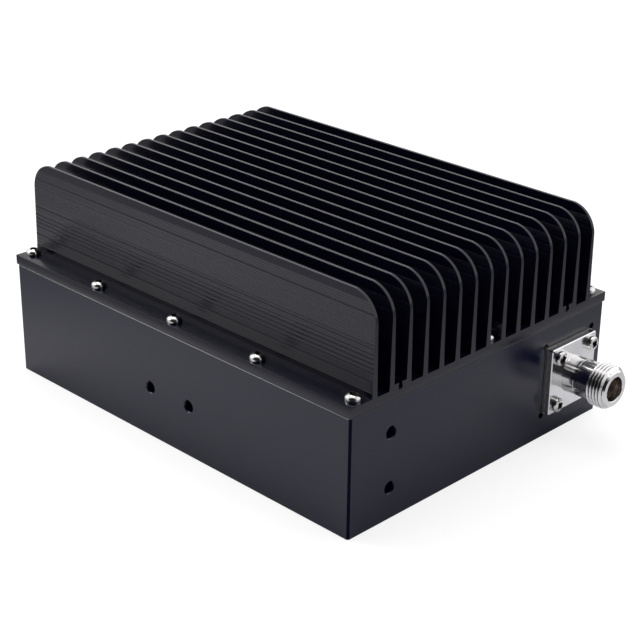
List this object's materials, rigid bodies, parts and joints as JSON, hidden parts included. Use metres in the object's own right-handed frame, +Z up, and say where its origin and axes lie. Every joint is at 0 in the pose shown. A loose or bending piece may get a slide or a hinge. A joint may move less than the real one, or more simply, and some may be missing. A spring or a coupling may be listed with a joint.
{
  "type": "rf dummy load",
  "caption": "RF dummy load: a low black milled box under a long-finned heatsink lid, with a flanged female N coaxial socket on the front.",
  "frame": {"origin": "centre of the milled box's bottom face", "axes": "+Z up through the fins, -Y out through the coaxial socket, +X towards the side of the front on which the socket stands"},
  "size_m": [0.1324, 0.1949, 0.0821],
  "materials": {
    "anodised_black": "black anodised, semi-gloss",
    "machined_aluminium": "bare machined",
    "nickel_plate": "nickel plated, polished",
    "screw_steel": "bright stainless",
    "insulator": "plain white insulator",
    "gold_plate": "gold plated",
    "copper_carrier": "bare copper",
    "ceramic": "fired ceramic"
  },
  "bodies": {
    "root": {"block_screw_1": "screw_steel", "block_screw_2": "screw_steel", "block_screw_3": "screw_steel", "block_screw_4": "screw_steel", "connector_body": "nickel_plate", "connector_contact": "gold_plate", "connector_dielectric": "insulator", "connector_screw_1": "screw_steel", "connector_screw_2": "screw_steel", "connector_screw_3": "screw_steel", "connector_screw_4": "screw_steel", "cover_screw_1": "screw_steel", "cover_screw_2": "screw_steel", "cover_screw_3": "screw_steel", "cover_screw_4": "screw_steel", "enclosure": "anodised_black", "heat_spreader": "machined_aluminium", "heatsink": "anodised_black", "lid_screw_back": "screw_steel", "lid_screw_front": "screw_steel", "lid_screw_left_1": "screw_steel", "lid_screw_left_2": "screw_steel", "lid_screw_left_3": "screw_steel", "lid_screw_left_4": "screw_steel", "lid_screw_left_5": "screw_steel", "lid_screw_right_1": "screw_steel", "lid_screw_right_2": "screw_steel", "lid_screw_right_3": "screw_steel", "lid_screw_right_4": "screw_steel", "lid_screw_right_5": "screw_steel", "load_block": "machined_aluminium", "load_cover": "machined_aluminium", "resistor_cap": "ceramic", "resistor_carrier": "copper_carrier", "resistor_chip": "ceramic", "resistor_screw_1": "screw_steel", "resistor_screw_2": "screw_steel", "resistor_screw_3": "screw_steel", "resistor_screw_4": "screw_steel", "resistor_tab": "gold_plate", "spreader_screw_1": "screw_steel", "spreader_screw_2": "screw_steel", "spreader_screw_3": "screw_steel", "spreader_screw_4": "screw_steel", "spreader_screw_5": "screw_steel", "spreader_screw_6": "screw_steel"}
  },
  "joints": []
}
